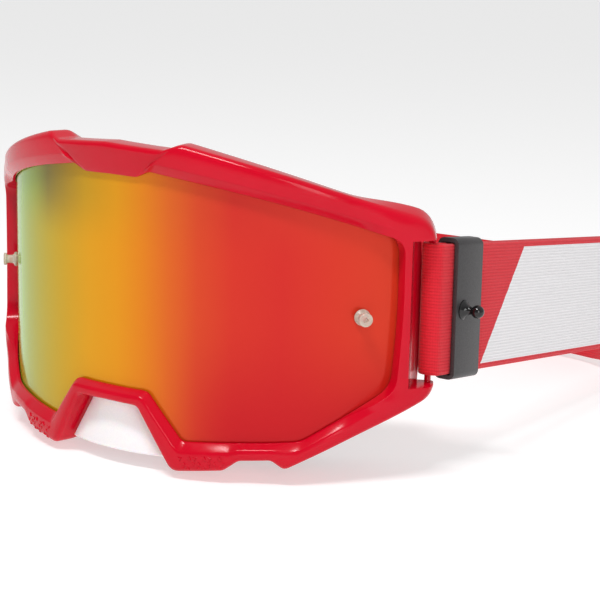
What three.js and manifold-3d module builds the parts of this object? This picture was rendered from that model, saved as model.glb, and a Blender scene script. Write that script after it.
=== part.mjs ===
// Motorcycle goggles: mirrored cylindrical lens in a one-piece frame, layered face foam, and a strap band
// folded round a bar at each side of the frame. Millimetres, +Z up, the front faces -Y, +X is the wearer's left.
// The origin is the middle of the face opening, where the foam meets the brow.
import * as THREE from 'three';
import { mergeVertices } from 'three/addons/utils/BufferGeometryUtils.js';
import Module from 'manifold-3d';

const wasm = await Module();
wasm.setup();

// Clearances
const gap = 0.35;              // between pieces that touch or are bonded
const strapGap = 0.45;         // between the strap and what it passes round or through

// Lens: a sheet bent to a cylinder with a vertical axis
const lensRadius = 100;        // frame's seat radius, just outside the lens
const lensThickness = 1.4;
const lensSetback = 40;        // front of the lens ahead of the face opening
const lensRebate = 3.0;        // how far the lens reaches into the groove
const lensRebateSide = 2.0;    // the same beside the strap windows
const lensEdgeGap = 0.5;

// Frame section
const lipRise = 1.0;           // inner edge of the front lip above the lens seat
const lipRiseSide = 5.2;       // the same beside the strap windows, where the rim stands proud
const bevelRise = 3.1;         // top of the bevel beside the lens
const bevelRiseSide = 5.6;
const bevelShare = 0.3;        // that bevel's share of the rim's width
const crestRise = 3.8;         // front face above the lens seat
const crestRiseSide = 5.9;
const browRiseLow = 0.8;       // brow plate's sloping face above the lens seat, beside the lens
const browRiseHigh = 4.4;      // and at the top
const outerEdgeDrop = 1.4;     // bevel at the frame's outer edge
const rearDrop = 5.0;          // depth of the rim's outer wall behind the lens seat
const rearDropSide = 1.4;
const rearReachSide = 3.7;     // how far the side wall runs back past the rim's outer edge
const ledgeThickness = 1.6;    // wall behind the lens
const wallThickness = 2.2;
const flangeThickness = 2.0;
const flangeWidth = 9;
const flangeWidthNose = 5;
const hollowHalfWidth = 80.6;  // the frame's hollow stops here, beside the strap pockets

// Face side
const faceRadius = 92;         // curve that the foam follows on the face
const foamStack = 18;          // three layers of foam
const flangeShrinkX = 0.845;   // face flange against the rim's outline
const flangeShrinkTop = 0.84;  // the same in height above the middle
const flangeShrinkZ = 0.93;    // and below it
const faceShrinkX = 0.8;       // foam's face side against the rim's outline
const faceShrinkTop = 0.77;
const foamWidth = 13;
const foamWidthNose = 8;
const foamOverhang = 0.3;
const faceEase = 4;            // stations each way over which the face side is eased
const foamLayerGap = 0.032;    // between layers, as a share of the stack
const foamLayers = { foam_base: [0, 0.46], foam_middle: [0.46, 0.88], foam_fleece: [0.88, 1] };

// Strap and what is on it
const strapWidth = 43.5;
const strapThickness = 1.4;
const strapCentreZ = 5.4;
const strapDrop = 0.114;       // fall of the strap per millimetre towards the rear
const strapSag = 12;           // further fall of the rear run
const strapSagLength = 40;     // over which that fall eases in
const strapSideX = 91.9;       // middle of the outer layer
const barInnerX = 87.2;        // moulded bar that the strap is folded round
const barOuterX = 89.1;
const barDepth = 2.2;
const barSetback = 45.4;       // front of the bar ahead of the lens's axis
const barFrontY = lensRadius - lensSetback - barSetback;
const barRearY = barFrontY + barDepth;
const foldRoom = 1.1;          // between the bar and the fold, and from layer to layer
const foldFrontY = barFrontY - foldRoom - strapThickness / 2;
const foldTailX = barInnerX - 1.0 - strapThickness / 2;
const layerPitch = strapThickness + foldRoom;
const strapStraightY = 150;    // where the sides start to turn round the head
const strapCornerRadius = 46;
const strapTailX = 20;         // end of each tail on the rear run
const pocketEdgeS = 99.8;      // rim's edge beside the strap window, along the lens curve
const pocketWallX = foldTailX - strapThickness / 2 - 0.5;
const pocketWallY = barFrontY - foldRoom;    // where the wall beside the strap turns straight back
const windowBottomZ = strapCentreZ - strapWidth / 2 - 2.65;
const windowTopZ = strapCentreZ + strapWidth / 2 + 2.05;

const clipLength = 16.4;
const clipWall = 1.5;
const clipCentreY = barRearY + 13.2;
const studOffset = -3.4;       // stud ahead of the clip's middle
const studBallRadius = 2.2;
const studReach = 5.2;         // ball's centre from the clip's face
const adjusterX = 36;
const adjusterLength = 12;
const adjusterWall = 1.6;
const gripLength = 34;
const gripHeight = 3;
const gripThickness = 0.8;
const gripPitch = 11;

// Tear-off posts
const postS = 85.7;            // along the lens curve from the middle
const postZ = 4.3;
const postHeadRadius = 2.3;
const postNeckRadius = 1.5;
const postShankRadius = 1.2;
const postHeight = 4.8;
const buttonRadius = 3.2;
const buttonHeight = 1.2;

// Nose guard
const guardTopZ = -28.9;
const guardBottomZ = -45.8;
const guardThickness = 2;
const guardFrontY = 0.6;       // behind the lens seat at the middle
const guardBow = 3.6;          // how far its sides bend back
const guardSideGap = 1.9;

const colours = {
  frame: 0xd60a26, lens: 0xe8541c, clear: 0xd8d4c8, guard: 0xf4f4f2, foam: 0x2b2b2d,
  fleece: 0x1b1b1c, strap: 0xe0122a, clip: 0x2a2829, silicone: 0xc9c9c9,
};

// Corners of the frame's right half on the unrolled lens cylinder, from the middle of the brow to the nose.
// Each has [s, z, trim] on the lens opening, the same on the frame's outer edge, and the number of
// stations before the next corner. Trim is how far from the corner its rounding starts, and round is
// the number of steps in that rounding, 2 where it isn't given.
const corners = [
  { inner: [0, 46.8, 0], outer: [0, 57.5, 0], next: 2 },
  { inner: [10.8, 46.6, 1.5], outer: [21.8, 56.3, 1.5], next: 0 },     // end of the brow plate
  { inner: [15.6, 48.8, 1.5], outer: [27.2, 58.4, 1.5], next: 1 },     // wing begins
  { inner: [52, 43.4, 26], outer: [50, 53.4, 20], round: 5, next: 2 },
  { inner: [97.6, 29.3, 5], outer: [107.6, 35.3, 7], next: 2 },        // temple
  { inner: [97.8, 5, 12], outer: [112, 5, 12], next: 2 },
  { inner: [96, -19.5, 5], outer: [108.8, -22.1, 4], next: 2 },
  { inner: [66.5, -36.6, 4], outer: [61.4, -45.6, 1.5], next: 0 },     // cheek
  { inner: [58, -37.1, 1.5], outer: [57.2, -42.5, 1], next: 0 },
  { inner: [48, -37.6, 1.5], outer: [47, -43.1, 1], next: 0 },
  { inner: [43, -37.9, 1.5], outer: [42, -46.8, 1], next: 1 },         // lobe beside the nose
  { inner: [27.6, -38.8, 3], outer: [24.6, -48.8, 3], next: 1 },
  { inner: [15, -23.4, 3], outer: [12.4, -28.4, 2], next: 1 },
  { inner: [0, -23.4, 0], outer: [0, -28.1, 0], next: 0 },
];
const browEnd = 2;             // corner where the brow plate has ended

const point = (x, y, z) => new THREE.Vector3(x, y, z);
const smooth = (value, low, high) => THREE.MathUtils.smoothstep(value, low, high);
const mix = (a, b, t) => a + (b - a) * t;

// A point on the lens's curve: s along the seat cylinder, rise above it
function onLens(s, z, rise) {
  const angle = s / lensRadius;
  const radius = lensRadius + rise;
  return point(radius * Math.sin(angle), lensRadius - lensSetback - radius * Math.cos(angle), z);
}

// Rounds one rail of the corner table: a curve at each corner and even steps between them
function traceRail(rail) {
  const at = (i) => new THREE.Vector2(corners[i][rail][0], corners[i][rail][1]);
  const trim = (i) => corners[i][rail][2];
  const last = corners.length - 1;
  const points = [];
  for (let i = 0; i <= last; i++) {
    const here = at(i);
    const plate = i < browEnd ? 1 : 0;
    let leave = here;
    if (i === 0 || i === last) {
      points.push({ p: here, plate });
    } else {
      const arrive = here.clone().add(at(i - 1).sub(here).setLength(trim(i)));
      leave = here.clone().add(at(i + 1).sub(here).setLength(trim(i)));
      const curve = new THREE.QuadraticBezierCurve(arrive, here, leave);
      points.push(...curve.getPoints(corners[i].round ?? 2).map((p) => ({ p, plate })));
    }
    if (i === last) break;
    const next = at(i + 1);
    const target = next.clone().add(here.clone().sub(next).setLength(trim(i + 1)));
    const count = corners[i].next;
    for (let k = 1; k <= count; k++) {
      points.push({ p: leave.clone().lerp(target, k / (count + 1)), plate });
    }
  }
  return points;
}

// Stations round the whole frame: right half from brow to nose, then its mirror back to the brow
function makeStations() {
  const inner = traceRail('inner');
  const outer = traceRail('outer');
  const half = inner.map((item, i) => ({ inner: item.p, outer: outer[i].p, plate: item.plate, side: 1 }));
  const flip = (v) => new THREE.Vector2(-v.x, v.y);
  const mirrored = half.slice(1, -1).reverse()
    .map((st) => ({ inner: flip(st.inner), outer: flip(st.outer), plate: st.plate, side: -1 }));
  return withSoftRails([...half, ...mirrored]);
}

// Adds each station's eased place in both rails, so that the face side keeps none of the front's small steps
function withSoftRails(ring) {
  const wrap = (i) => ring[(i + ring.length) % ring.length];
  const eased = (rail, i) => {
    const sum = new THREE.Vector2();
    let weights = 0;
    for (let k = -faceEase; k <= faceEase; k++) {
      const weight = faceEase + 1 - Math.abs(k);
      sum.addScaledVector(wrap(i + k)[rail], weight);
      weights += weight;
    }
    return sum.divideScalar(weights);
  };
  return ring.map((st, i) => ({ ...st, softInner: eased('inner', i), softOuter: eased('outer', i) }));
}

const stations = makeStations();
const halfCount = stations.length / 2;

const rebateAt = (s) => mix(lensRebate, lensRebateSide, smooth(Math.abs(s), 88, 98));

// Unrolled point a distance out from the lens opening, towards the outer edge
function outward(station, distance) {
  const way = station.outer.clone().sub(station.inner);
  return station.inner.clone().add(way.setLength(distance));
}

// Depth of a face-side curve at x: concentric curves round the head
function faceY(x, radius) {
  return faceRadius - Math.sqrt(radius * radius - x * x);
}

// Points of one station on the face side: the flange's outer edge, the foam's rear edge, and the way inwards
function faceRails(station) {
  const rim = onLens(station.softOuter.x, station.softOuter.y, 0);
  const open = onLens(station.softInner.x, station.softInner.y, 0);
  const inwards = point(open.x - rim.x, 0, open.z - rim.z).normalize();
  const noseShare = smooth(Math.hypot(rim.x, rim.z + 28), 14, 34);
  const flangeX = rim.x * flangeShrinkX;
  const flangeZ = rim.z * (rim.z > 0 ? flangeShrinkTop : flangeShrinkZ);
  const flange = point(flangeX, faceY(flangeX, faceRadius + foamStack), flangeZ);
  const faceX = rim.x * faceShrinkX;
  const faceZ = rim.z * (rim.z > 0 ? faceShrinkTop : flangeShrinkZ);
  const face = point(faceX, faceY(faceX, faceRadius), faceZ);
  return { flange, face, inwards, noseShare };
}

// Section of the frame at one station: lip, front face, outer wall, face flange, hollow, lens ledge, groove
function frameSection(station) {
  const width = station.outer.distanceTo(station.inner);
  const atShare = (share, rise) => {
    const p = outward(station, width * share);
    return onLens(p.x, p.y, rise);
  };
  const atDistance = (distance, rise) => atShare(distance / width, rise);
  const side = smooth(Math.abs(station.outer.x), 80, 106);
  const rise = (rim, share) => mix(rim, mix(browRiseLow, browRiseHigh, share / 0.88), station.plate);
  const lip = mix(lipRise, lipRiseSide, side);
  const bevel = mix(bevelRise, bevelRiseSide, side);
  const crest = mix(crestRise, crestRiseSide, side);
  const wallEnd = atDistance(width + rearReachSide * side, -mix(rearDrop, rearDropSide, side));
  const groove = rebateAt(station.inner.x) + lensEdgeGap;
  const seatBack = -(lensThickness + 2 * gap);
  const { flange, inwards, noseShare } = faceRails(station);
  const reach = mix(flangeWidthNose, flangeWidth, noseShare);
  const flangeInner = flange.clone().addScaledVector(inwards, reach);
  flangeInner.y = faceY(flangeInner.x, faceRadius + foamStack);
  const forward = point(0, -flangeThickness, 0);
  const hollowRear = flange.clone().addScaledVector(inwards, wallThickness).add(forward);
  const hollowFront = wallEnd.clone().addScaledVector(inwards, wallThickness);
  for (const corner of [hollowRear, hollowFront]) {
    corner.x = THREE.MathUtils.clamp(corner.x, -hollowHalfWidth, hollowHalfWidth);
  }
  return [
    atShare(0, 0), atShare(0, rise(lip, 0)), atShare(bevelShare, rise(bevel, bevelShare)),
    atShare(0.6, rise(crest, 0.6)), atShare(0.88, rise(crest - 0.2, 0.88)),
    atShare(1, rise(crest - outerEdgeDrop, 0.62)), wallEnd,
    flange, flangeInner, flangeInner.clone().add(forward), hollowRear, hollowFront,
    atDistance(groove + 1, seatBack - ledgeThickness), atDistance(0, seatBack - ledgeThickness),
    atDistance(0, seatBack), atDistance(groove, seatBack), atDistance(groove, 0),
  ];
}

// Closed solid through equal sections; a ring if closed, otherwise capped at both ends
function sweep(sections, closed) {
  const count = sections[0].length;
  const positions = sections.flat().flatMap((p) => [p.x, p.y, p.z]);
  const index = [];
  const spans = closed ? sections.length : sections.length - 1;
  for (let i = 0; i < spans; i++) {
    const here = i * count;
    const there = ((i + 1) % sections.length) * count;
    for (let k = 0; k < count; k++) {
      const next = (k + 1) % count;
      index.push(here + k, there + k, there + next);
      index.push(here + k, there + next, here + next);
    }
  }
  if (!closed) {
    const end = (sections.length - 1) * count;
    for (let k = 1; k < count - 1; k++) {
      index.push(0, k, k + 1);
      index.push(end, end + k + 1, end + k);
    }
  }
  return outwardFacing(positions, index);
}

// Geometry from positions and triangles, turned so that its faces point out
function outwardFacing(positions, index) {
  let volume = 0;
  const v = (i) => point(positions[3 * i], positions[3 * i + 1], positions[3 * i + 2]);
  for (let i = 0; i < index.length; i += 3) {
    volume += v(index[i]).dot(v(index[i + 1]).cross(v(index[i + 2])));
  }
  const turned = volume > 0 ? index : index.slice().reverse();
  const geometry = new THREE.BufferGeometry();
  geometry.setAttribute('position', new THREE.Float32BufferAttribute(positions, 3));
  geometry.setIndex(turned);
  return geometry;
}

function toSolid(geometry) {
  const bare = geometry.clone();
  bare.deleteAttribute('normal');
  bare.deleteAttribute('uv');
  const merged = mergeVertices(bare, 1e-4);
  return new wasm.Manifold(new wasm.Mesh({
    numProp: 3,
    vertProperties: Float32Array.from(merged.attributes.position.array),
    triVerts: Uint32Array.from(merged.index.array),
  }));
}

function fromSolid(solid) {
  const mesh = solid.getMesh();
  const geometry = new THREE.BufferGeometry();
  geometry.setAttribute('position', new THREE.BufferAttribute(Float32Array.from(mesh.vertProperties), 3));
  geometry.setIndex(Array.from(mesh.triVerts));
  return geometry;
}

function cut(geometry, ...tools) {
  return fromSolid(tools.reduce((body, tool) => body.subtract(toSolid(tool)), toSolid(geometry)));
}

// Prism over a plan outline of [x, y], between two heights
function prism(outline, low, high) {
  const shape = new THREE.Shape(outline.map(([x, y]) => new THREE.Vector2(x, y)));
  const geometry = new THREE.ExtrudeGeometry(shape, { depth: high - low, bevelEnabled: false, steps: 1 });
  geometry.translate(0, 0, low);
  return geometry;
}

// Rounded rectangle, as a shape or as a hole in one
function roundedRectangle(Type, left, bottom, width, height, radius) {
  const shape = new Type();
  const right = left + width;
  const top = bottom + height;
  shape.moveTo(left + radius, bottom);
  shape.lineTo(right - radius, bottom);
  shape.absarc(right - radius, bottom + radius, radius, -Math.PI / 2, 0);
  shape.lineTo(right, top - radius);
  shape.absarc(right - radius, top - radius, radius, 0, Math.PI / 2);
  shape.lineTo(left + radius, top);
  shape.absarc(left + radius, top - radius, radius, Math.PI / 2, Math.PI);
  shape.lineTo(left, bottom + radius);
  shape.absarc(left + radius, bottom + radius, radius, Math.PI, 1.5 * Math.PI);
  return shape;
}

// Room for the strap's fold all round the moulded bar
function strapPocket(side) {
  const edgeFront = onLens(pocketEdgeS, 0, 8);
  const edgeBack = onLens(pocketEdgeS, 0, lipRiseSide);
  const outside = strapSideX + 8;
  const behind = barRearY + 12;
  const outline = [
    [edgeFront.x, edgeFront.y], [edgeBack.x, edgeBack.y], [pocketWallX, pocketWallY], [pocketWallX, behind],
    [outside, behind], [outside, edgeFront.y],
  ];
  const shape = new THREE.Shape(outline.map(([x, y]) => new THREE.Vector2(side * x, y)));
  const barX = side > 0 ? barInnerX : -barOuterX;
  const barWidth = barOuterX - barInnerX;
  shape.holes.push(roundedRectangle(THREE.Path, barX, barFrontY, barWidth, barRearY - barFrontY, 0.8));
  const depth = windowTopZ - windowBottomZ;
  const pocket = new THREE.ExtrudeGeometry(shape, { depth, bevelEnabled: false, curveSegments: 3 });
  return pocket.translate(0, 0, windowBottomZ);
}

// Air slot through the outer wall at one station
function ventCut(s, upper) {
  const reach = (st) => Math.abs(st.outer.x - s);
  const row = stations.filter((st) => (st.outer.y > 0) === upper);
  const station = row.reduce((best, st) => (reach(st) < reach(best) ? st : best));
  const section = frameSection(station);
  const middle = section[6].clone().lerp(section[7], 0.5);
  const slot = new THREE.BoxGeometry(9, 6, 3.2 * wallThickness);
  slot.rotateZ(station.outer.x / lensRadius);
  slot.translate(middle.x, middle.y, middle.z);
  return slot;
}

function frameGeometry() {
  const ring = sweep(stations.map(frameSection), true);
  const slots = [14, 36, 56, 76].flatMap((s) => [ventCut(s, true), ventCut(-s, true)]);
  const lowerSlots = [33, 80].flatMap((s) => [ventCut(s, false), ventCut(-s, false)]);
  return cut(ring, strapPocket(1), strapPocket(-1), ...slots, ...lowerSlots);
}

// The lens: straight columns between its upper and lower edge, so the sheet is a true cylinder
function lensGeometry() {
  const edge = stations.slice(0, halfCount + 1).map((st) => outward(st, rebateAt(st.inner.x)));
  const tip = edge.reduce((best, p, i) => (p.x > edge[best].x ? i : best), 0);
  const rails = [edge.slice(0, tip + 1), edge.slice(tip).reverse()];
  const heightAt = (rail, s) => {
    const i = Math.max(1, rail.findIndex((p) => p.x >= s - 1e-9));
    const t = (s - rail[i - 1].x) / Math.max(rail[i].x - rail[i - 1].x, 1e-9);
    return mix(rail[i - 1].y, rail[i].y, THREE.MathUtils.clamp(t, 0, 1));
  };
  const marks = rails.flat().map((p) => p.x).filter((s) => s < edge[tip].x - 0.4).sort((a, b) => a - b);
  const half = marks.filter((s, i) => i === 0 || s - marks[i - 1] > 0.15);
  half.push(edge[tip].x - 0.3);
  const columns = [...half.slice(1).map((s) => -s).reverse(), ...half];
  const front = -gap;
  const back = -gap - lensThickness;
  const sections = columns.map((s) => {
    const top = heightAt(rails[0], Math.abs(s));
    const bottom = heightAt(rails[1], Math.abs(s));
    return [onLens(s, bottom, front), onLens(s, top, front), onLens(s, top, back), onLens(s, bottom, back)];
  });
  const holes = [-1, 1].map((side) => {
    const hole = new THREE.CylinderGeometry(postShankRadius + gap, postShankRadius + gap, 8, 12);
    return placeOnLens(hole, side * postS, postZ, 0);
  });
  return cut(sweep(sections, false), ...holes);
}

// Stands a lathe-like geometry (axis Y) on the lens, its axis along the lens's normal
function placeOnLens(geometry, s, z, rise) {
  const base = onLens(s, z, rise);
  geometry.rotateX(Math.PI);
  geometry.rotateZ(s / lensRadius);
  geometry.translate(base.x, base.y, base.z);
  return geometry;
}

// Spool-shaped pin for tear-off films, with a shank through the lens
function postGeometry(side) {
  const shankEnd = -(lensThickness + 2 * gap + buttonHeight);
  const foot = postHeadRadius + 0.4;
  const profile = [
    [0, shankEnd], [postShankRadius, shankEnd], [postShankRadius, 0], [foot, 0], [foot, 0.8],
    [postNeckRadius, 1.5], [postNeckRadius, postHeight - 1.6], [postHeadRadius, postHeight - 0.9],
    [postHeadRadius, postHeight - 0.3], [postHeadRadius - 0.4, postHeight], [0, postHeight],
  ];
  const pin = new THREE.LatheGeometry(profile.map(([r, y]) => new THREE.Vector2(r, y)), 14);
  return placeOnLens(pin, side * postS, postZ, 0);
}

// Press-on button that holds the pin from behind the lens
function buttonGeometry(side) {
  const top = -(lensThickness + 2 * gap) - 0.05;
  const low = top - buttonHeight;
  const bore = postShankRadius + gap;
  const profile = [[bore, low], [buttonRadius - 0.4, low], [buttonRadius, top], [bore, top], [bore, low]];
  const ring = new THREE.LatheGeometry(profile.map(([r, y]) => new THREE.Vector2(r, y)), 14);
  return placeOnLens(ring, side * postS, postZ, 0);
}

// Soft shield that covers the nose below the bridge; its sides bend back
function guardGeometry() {
  const rows = 5;
  const columns = 10;
  const bridge = corners[corners.length - 2].outer;
  const lobe = corners[corners.length - 3].outer;
  const section = (z) => {
    const share = (z - bridge[1]) / (lobe[1] - bridge[1]);
    const half = lensRadius * Math.sin(mix(bridge[0], lobe[0], share) / lensRadius) - guardSideGap;
    const face = (i, depth) => {
      const u = (2 * i) / columns - 1;
      return point(u * half, guardFrontY - lensSetback + guardBow * u * u + depth, z);
    };
    const steps = [...Array(columns + 1).keys()];
    return [...steps.map((i) => face(i, 0)), ...steps.reverse().map((i) => face(i, guardThickness))];
  };
  const sections = [...Array(rows + 1).keys()].map((i) => section(mix(guardTopZ, guardBottomZ, i / rows)));
  return capSweep(sections, columns);
}

// Sweep whose end sections are strips folded back on themselves, so their caps are laddered
function capSweep(sections, columns) {
  const ring = sections[0].length;
  const positions = sections.flat().flatMap((p) => [p.x, p.y, p.z]);
  const index = [];
  for (let i = 0; i < sections.length - 1; i++) {
    for (let k = 0; k < ring; k++) {
      const a = i * ring + k;
      const b = i * ring + ((k + 1) % ring);
      index.push(a, a + ring, b + ring, a, b + ring, b);
    }
  }
  const end = (sections.length - 1) * ring;
  for (let k = 0; k < columns; k++) {
    const back = ring - 1 - k;
    index.push(k, k + 1, back - 1, k, back - 1, back);
    index.push(end + k, end + back, end + back - 1, end + k, end + back - 1, end + k + 1);
  }
  return outwardFacing(positions, index);
}

// One layer of the face foam, between two shares of the stack
function foamGeometry(from, to) {
  const sections = stations.filter((_, i) => i % 2 === 0).map((station) => {
    const { flange, face, inwards, noseShare } = faceRails(station);
    const reach = mix(foamWidthNose, foamWidth, noseShare);
    const at = (share, inset) => {
      const p = flange.clone().lerp(face, share).addScaledVector(inwards, inset);
      p.y = faceY(p.x, faceRadius + foamStack * (1 - share));
      return p;
    };
    const low = from + foamLayerGap;
    return [at(low, -foamOverhang), at(to, -foamOverhang), at(to, reach), at(low, reach)];
  });
  return sweep(sections, true);
}

// Middle line of the strap's right half in plan, from the tail's end on the rear run to the middle of the rear
function strapPath() {
  const foldRadius = (strapSideX - foldTailX) / 2;
  const foldX = foldTailX + foldRadius;
  const tailX = strapSideX - layerPitch;
  const rearY = strapStraightY + strapCornerRadius;
  const path = new THREE.CurvePath();
  const line = (a, b) => path.add(new THREE.LineCurve(new THREE.Vector2(...a), new THREE.Vector2(...b)));
  const arc = (x, y, r, from, to, clockwise) => path.add(new THREE.EllipseCurve(x, y, r, r, from, to, clockwise));
  const tailY = rearY - layerPitch;
  const innerRadius = strapCornerRadius - layerPitch;
  const cornerX = strapSideX - strapCornerRadius;
  line([strapTailX, tailY], [cornerX, tailY]);
  arc(cornerX, strapStraightY, innerRadius, Math.PI / 2, 0, true);
  line([tailX, strapStraightY], [tailX, clipCentreY - clipLength / 2 - 0.6]);
  line([tailX, clipCentreY - clipLength / 2 - 0.6], [foldTailX, barRearY]);
  line([foldTailX, barRearY], [foldTailX, foldFrontY + foldRadius]);
  arc(foldX, foldFrontY + foldRadius, foldRadius, Math.PI, 2 * Math.PI, false);
  line([strapSideX, foldFrontY + foldRadius], [strapSideX, strapStraightY]);
  arc(cornerX, strapStraightY, strapCornerRadius, 0, Math.PI / 2, false);
  line([cornerX, rearY], [0, rearY]);
  const points = path.curves.flatMap((curve) => curve.getPoints(curve.isEllipseCurve ? 9 : 2));
  return points.filter((p, i) => i === 0 || p.distanceTo(points[i - 1]) > 0.01);
}

// Both edges of a band of even thickness along a path
function bandOutline(path, thickness) {
  const normalAt = (i) => {
    const before = path[Math.max(i - 1, 0)];
    const after = path[Math.min(i + 1, path.length - 1)];
    const a = path[i].clone().sub(before).normalize();
    const b = after.clone().sub(path[i]).normalize();
    const along = a.add(b).normalize();
    return new THREE.Vector2(along.y, -along.x);
  };
  const edge = (sign) => path.map((p, i) => p.clone().addScaledVector(normalAt(i), (sign * thickness) / 2));
  return [...edge(1), ...edge(-1).reverse()].map((p) => [p.x, p.y]);
}

// How far the strap has fallen by y: evenly along the sides, with a sag at the rear
function strapFall(y) {
  return strapDrop * (y - barFrontY) + strapSag * smooth(y, strapStraightY, strapStraightY + strapSagLength);
}

// Lowers a geometry as the strap falls
function drop(geometry) {
  const position = geometry.attributes.position;
  for (let i = 0; i < position.count; i++) {
    position.setZ(i, position.getZ(i) - strapFall(position.getY(i)));
  }
  return geometry;
}

function strapGeometry() {
  const half = strapPath();
  const other = half.slice(0, -1).reverse().map((p) => new THREE.Vector2(-p.x, p.y));
  const outline = bandOutline([...half, ...other], strapThickness);
  return drop(prism(outline, strapCentreZ - strapWidth / 2, strapCentreZ + strapWidth / 2));
}

const layersMiddle = layerPitch / 2;
const layersThickness = layerPitch + strapThickness + 2 * strapGap;

// Keeper round both layers of the strap, its length along the strap
function clipGeometry(side) {
  const width = layersThickness + 2 * clipWall;
  const height = strapWidth + 2 * strapGap + 2 * clipWall;
  const shape = roundedRectangle(THREE.Shape, -width / 2, -height / 2, width, height, 2);
  const opening = roundedRectangle(THREE.Path, -layersThickness / 2, -height / 2 + clipWall,
    layersThickness, height - 2 * clipWall, 0.6);
  shape.holes.push(opening);
  const ring = new THREE.ExtrudeGeometry(shape, { depth: clipLength, bevelEnabled: false, curveSegments: 4 });
  ring.translate(0, 0, -clipLength / 2);
  ring.rotateX(-Math.PI / 2);
  ring.translate(side * (strapSideX - layersMiddle), clipCentreY, strapCentreZ);
  return drop(ring);
}

// Ball-headed stud on the keeper's outer face
function studGeometry(side) {
  const face = strapSideX - layersMiddle + layersThickness / 2 + clipWall + gap;
  const profile = [[0, 0], [3.3, 0], [2.7, 1], [1.2, 3]];
  for (let i = 1; i <= 7; i++) {
    const angle = -1 + (i * (1 + Math.PI / 2)) / 7;
    const radius = Math.max(studBallRadius * Math.cos(angle), 0);
    profile.push([i === 7 ? 0 : radius, studReach + studBallRadius * Math.sin(angle)]);
  }
  const stud = new THREE.LatheGeometry(profile.map(([r, y]) => new THREE.Vector2(r, y)), 16);
  stud.rotateZ((-side * Math.PI) / 2);
  const y = clipCentreY + studOffset;
  stud.translate(side * face, y, strapCentreZ - strapFall(y));
  return stud;
}

// Ladder slider at the rear: one slot for each layer of the strap
function adjusterGeometry(side) {
  const rearY = strapStraightY + strapCornerRadius;
  const slot = strapThickness + 2 * 0.3;
  const depth = layerPitch + slot + 2 * adjusterWall;
  const height = strapWidth + 2 * strapGap + 2 * adjusterWall;
  const frontY = rearY - layerPitch - slot / 2 - adjusterWall;
  const shape = roundedRectangle(THREE.Shape, frontY, -height / 2, depth, height, 1.6);
  for (const middle of [rearY - layerPitch, rearY]) {
    shape.holes.push(roundedRectangle(THREE.Path, middle - slot / 2, -height / 2 + adjusterWall,
      slot, height - 2 * adjusterWall, 0.3));
  }
  const body = new THREE.ExtrudeGeometry(shape, { depth: adjusterLength, bevelEnabled: false, curveSegments: 3 });
  body.rotateX(Math.PI / 2);
  body.rotateZ(Math.PI / 2);
  body.translate(side * adjusterX - adjusterLength / 2, 0, strapCentreZ);
  return drop(body);
}

// Silicone strip on the inside of the rear run
function gripGeometry(row) {
  const y = strapStraightY + strapCornerRadius - strapThickness / 2 - gap - gripThickness / 2;
  const shape = roundedRectangle(THREE.Shape, -gripLength / 2, -gripHeight / 2, gripLength, gripHeight, 1.4);
  const strip = new THREE.ExtrudeGeometry(shape, { depth: gripThickness, bevelEnabled: false, curveSegments: 4 });
  strip.translate(0, 0, -gripThickness / 2);
  strip.rotateX(Math.PI / 2);
  strip.translate(0, y, strapCentreZ + row * gripPitch);
  return drop(strip);
}

const group = new THREE.Group();

function addPiece(name, geometry, colour, roughness, metalness = 0) {
  const material = new THREE.MeshStandardMaterial({ color: colour, roughness, metalness });
  const mesh = new THREE.Mesh(geometry, material);
  mesh.name = name;
  group.add(mesh);
}

addPiece('frame', frameGeometry(), colours.frame, 0.25);
addPiece('lens', lensGeometry(), colours.lens, 0.08, 0.6);
addPiece('nose_guard', guardGeometry(), colours.guard, 0.5);
for (const [name, [from, to]] of Object.entries(foamLayers)) {
  addPiece(name, foamGeometry(from, to), name === 'foam_fleece' ? colours.fleece : colours.foam, 0.95);
}
addPiece('strap_band', strapGeometry(), colours.strap, 0.85);
for (const [name, row] of [['grip_strip_upper', 1], ['grip_strip_middle', 0], ['grip_strip_lower', -1]]) {
  addPiece(name, gripGeometry(row), colours.silicone, 0.4);
}
for (const [name, side] of [['left', 1], ['right', -1]]) {
  addPiece(`tear_off_post_${name}`, postGeometry(side), colours.clear, 0.15);
  addPiece(`post_button_${name}`, buttonGeometry(side), colours.clip, 0.4);
  addPiece(`strap_clip_${name}`, clipGeometry(side), colours.clip, 0.45);
  addPiece(`clip_stud_${name}`, studGeometry(side), colours.clip, 0.2);
  addPiece(`strap_adjuster_${name}`, adjusterGeometry(side), colours.clip, 0.45);
}

export default group;
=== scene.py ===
import math

import bmesh
import bpy
from mathutils import Matrix, Vector


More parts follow.
